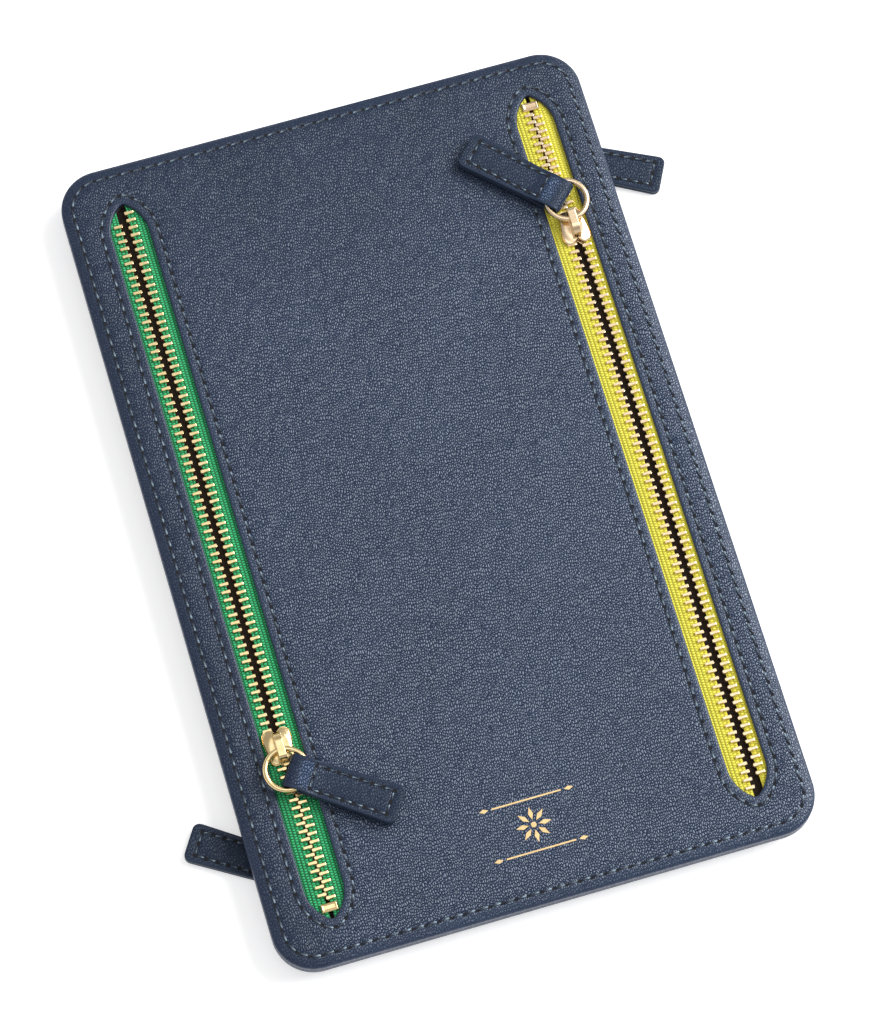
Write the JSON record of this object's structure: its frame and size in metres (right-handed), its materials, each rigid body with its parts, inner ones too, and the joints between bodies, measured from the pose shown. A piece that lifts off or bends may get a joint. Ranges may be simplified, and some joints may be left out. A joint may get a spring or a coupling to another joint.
{
  "type": "zipped travel wallet",
  "caption": "Slim leather travel wallet with long zipped pockets on both faces, metal sliders, pull rings and folded leather pull tabs.",
  "frame": {"origin": "middle of the wallet, on the surface it lies on", "axes": "+X across the width, +Y along the height, +Z out of the front face"},
  "size_m": [0.1711, 0.218, 0.0147],
  "materials": {
    "leather": "fine pebble grain, soft sheen",
    "edge": "painted edge",
    "lining": "dark brown woven lining",
    "green_tape": "woven zip tape",
    "yellow_tape": "woven zip tape",
    "gold": "polished pale gold",
    "pale_gold": "satin pale gold",
    "foil": "gold foil"
  },
  "bodies": {
    "wallet": {"front_panel": "leather", "back_panel": "leather", "front_lining": "lining", "back_lining": "lining", "front_spacer": "edge", "back_spacer": "edge", "centre_divider": "lining", "foil_ornament": "foil", "front_left_tape_left": "green_tape", "front_left_teeth_left_meshed": "gold", "front_left_tape_right": "green_tape", "front_left_teeth_right_meshed": "gold", "front_left_box_stop": "gold", "front_right_tape_left": "yellow_tape", "front_right_teeth_left_meshed": "pale_gold", "front_right_tape_right": "yellow_tape", "front_right_teeth_right_meshed": "pale_gold", "front_right_box_stop": "pale_gold", "back_left_tape_left": "yellow_tape", "back_left_teeth_left_meshed": "pale_gold", "back_left_tape_right": "yellow_tape", "back_left_teeth_right_meshed": "pale_gold", "back_left_box_stop": "pale_gold", "back_right_tape_left": "green_tape", "back_right_teeth_left_meshed": "gold", "back_right_tape_right": "green_tape", "back_right_teeth_right_meshed": "gold", "back_right_box_stop": "gold"},
    "front_left_row_left": {"front_left_teeth_left_parting": "gold"},
    "front_left_row_right": {"front_left_teeth_right_parting": "gold"},
    "front_left_slider": {"front_left_slider": "gold"},
    "front_left_ring": {"front_left_ring": "gold"},
    "front_left_tab": {"front_left_tab": "leather"},
    "front_right_row_left": {"front_right_teeth_left_parting": "pale_gold"},
    "front_right_row_right": {"front_right_teeth_right_parting": "pale_gold"},
    "front_right_slider": {"front_right_slider": "gold"},
    "front_right_ring": {"front_right_ring": "gold"},
    "front_right_tab": {"front_right_tab": "leather"},
    "back_left_row_left": {"back_left_teeth_left_parting": "pale_gold"},
    "back_left_row_right": {"back_left_teeth_right_parting": "pale_gold"},
    "back_left_slider": {"back_left_slider": "gold"},
    "back_left_ring": {"back_left_ring": "gold"},
    "back_left_tab": {"back_left_tab": "leather"},
    "back_right_row_left": {"back_right_teeth_left_parting": "gold"},
    "back_right_row_right": {"back_right_teeth_right_parting": "gold"},
    "back_right_slider": {"back_right_slider": "gold"},
    "back_right_ring": {"back_right_ring": "gold"},
    "back_right_tab": {"back_right_tab": "leather"}
  },
  "joints": [
    {"name": "front_left_slider_travel", "type": "slide", "parent": "wallet", "child": "front_left_slider", "axis": [0, 1, 0], "range_m": [-0.0363, 0.1412], "deforming": ["front_left_teeth_left_meshed", "front_left_teeth_left_parting", "front_left_tape_left", "front_left_teeth_right_meshed", "front_left_teeth_right_parting", "front_left_tape_right"]},
    {"name": "front_left_ring_tilt", "type": "hinge", "parent": "front_left_slider", "child": "front_left_ring", "pos_m": [-0.05505, -0.0539, 0.013], "axis": [-1, 0, 0], "range_deg": [0, 135]},
    {"name": "front_left_tab_swivel", "type": "hinge", "parent": "front_left_ring", "child": "front_left_tab", "pos_m": [-0.05505, -0.0592, 0.013], "axis": [0, 0, 1], "range_deg": [-115.2, 4.8]},
    {"name": "front_left_row_left_shift", "type": "slide", "parent": "wallet", "child": "front_left_row_left", "axis": [1, 0, 0], "range_m": [-0.00022, 0.00085]},
    {"name": "front_left_row_right_shift", "type": "slide", "parent": "wallet", "child": "front_left_row_right", "axis": [-1, 0, 0], "range_m": [-0.00022, 0.00085]},
    {"name": "front_right_slider_travel", "type": "slide", "parent": "wallet", "child": "front_right_slider", "axis": [0, -1, 0], "range_m": [-0.0291, 0.147], "deforming": ["front_right_teeth_left_meshed", "front_right_teeth_left_parting", "front_right_tape_left", "front_right_teeth_right_meshed", "front_right_teeth_right_parting", "front_right_tape_right"]},
    {"name": "front_right_ring_tilt", "type": "hinge", "parent": "front_right_slider", "child": "front_right_ring", "pos_m": [0.0564, 0.0611, 0.013], "axis": [1, 0, 0], "range_deg": [0, 135]},
    {"name": "front_right_tab_swivel", "type": "hinge", "parent": "front_right_ring", "child": "front_right_tab", "pos_m": [0.0564, 0.0664, 0.013], "axis": [0, 0, 1], "range_deg": [-105.3, 14.7]},
    {"name": "front_right_row_left_shift", "type": "slide", "parent": "wallet", "child": "front_right_row_left", "axis": [1, 0, 0], "range_m": [-0.00017, 0.00085]},
    {"name": "front_right_row_right_shift", "type": "slide", "parent": "wallet", "child": "front_right_row_right", "axis": [-1, 0, 0], "range_m": [-0.00017, 0.00085]},
    {"name": "back_left_slider_travel", "type": "slide", "parent": "wallet", "child": "back_left_slider", "axis": [0, -1, 0], "range_m": [-0.1791, 0], "deforming": ["back_left_teeth_left_meshed", "back_left_teeth_left_parting", "back_left_tape_left", "back_left_teeth_right_meshed", "back_left_teeth_right_parting", "back_left_tape_right"]},
    {"name": "back_left_ring_tilt", "type": "hinge", "parent": "back_left_slider", "child": "back_left_ring", "pos_m": [-0.0579, -0.0889, 0.0017], "axis": [-1, 0, 0], "range_deg": [0, 135]},
    {"name": "back_left_tab_swivel", "type": "hinge", "parent": "back_left_ring", "child": "back_left_tab", "pos_m": [-0.0579, -0.0836, 0.0017], "axis": [0, 0, 1], "range_deg": [-117, 3]},
    {"name": "back_left_row_left_shift", "type": "slide", "parent": "wallet", "child": "back_left_row_left", "axis": [1, 0, 0], "range_m": [-0.000851, 0]},
    {"name": "back_left_row_right_shift", "type": "slide", "parent": "wallet", "child": "back_left_row_right", "axis": [-1, 0, 0], "range_m": [-0.000851, 0]},
    {"name": "back_right_slider_travel", "type": "slide", "parent": "wallet", "child": "back_right_slider", "axis": [0, 1, 0], "range_m": [-0.1791, 0], "deforming": ["back_right_teeth_left_meshed", "back_right_teeth_left_parting", "back_right_tape_left", "back_right_teeth_right_meshed", "back_right_teeth_right_parting", "back_right_tape_right"]},
    {"name": "back_right_ring_tilt", "type": "hinge", "parent": "back_right_slider", "child": "back_right_ring", "pos_m": [0.0579, 0.0889, 0.0017], "axis": [1, 0, 0], "range_deg": [0, 135]},
    {"name": "back_right_tab_swivel", "type": "hinge", "parent": "back_right_ring", "child": "back_right_tab", "pos_m": [0.0579, 0.0836, 0.0017], "axis": [0, 0, 1], "range_deg": [-122.5, 1]},
    {"name": "back_right_row_left_shift", "type": "slide", "parent": "wallet", "child": "back_right_row_left", "axis": [1, 0, 0], "range_m": [-0.000851, 0]},
    {"name": "back_right_row_right_shift", "type": "slide", "parent": "wallet", "child": "back_right_row_right", "axis": [-1, 0, 0], "range_m": [-0.000851, 0]}
  ],
  "couplings": [
    {"joint": "front_left_row_left_shift", "follows": "front_left_slider_travel", "ratio": 0.00602},
    {"joint": "front_left_row_right_shift", "follows": "front_left_slider_travel", "ratio": 0.00602},
    {"joint": "front_right_row_left_shift", "follows": "front_right_slider_travel", "ratio": 0.005782},
    {"joint": "front_right_row_right_shift", "follows": "front_right_slider_travel", "ratio": 0.005782},
    {"joint": "back_left_row_left_shift", "follows": "back_left_slider_travel", "ratio": 0.004746},
    {"joint": "back_left_row_right_shift", "follows": "back_left_slider_travel", "ratio": 0.004746},
    {"joint": "back_right_row_left_shift", "follows": "back_right_slider_travel", "ratio": 0.004746},
    {"joint": "back_right_row_right_shift", "follows": "back_right_slider_travel", "ratio": 0.004746}
  ]
}
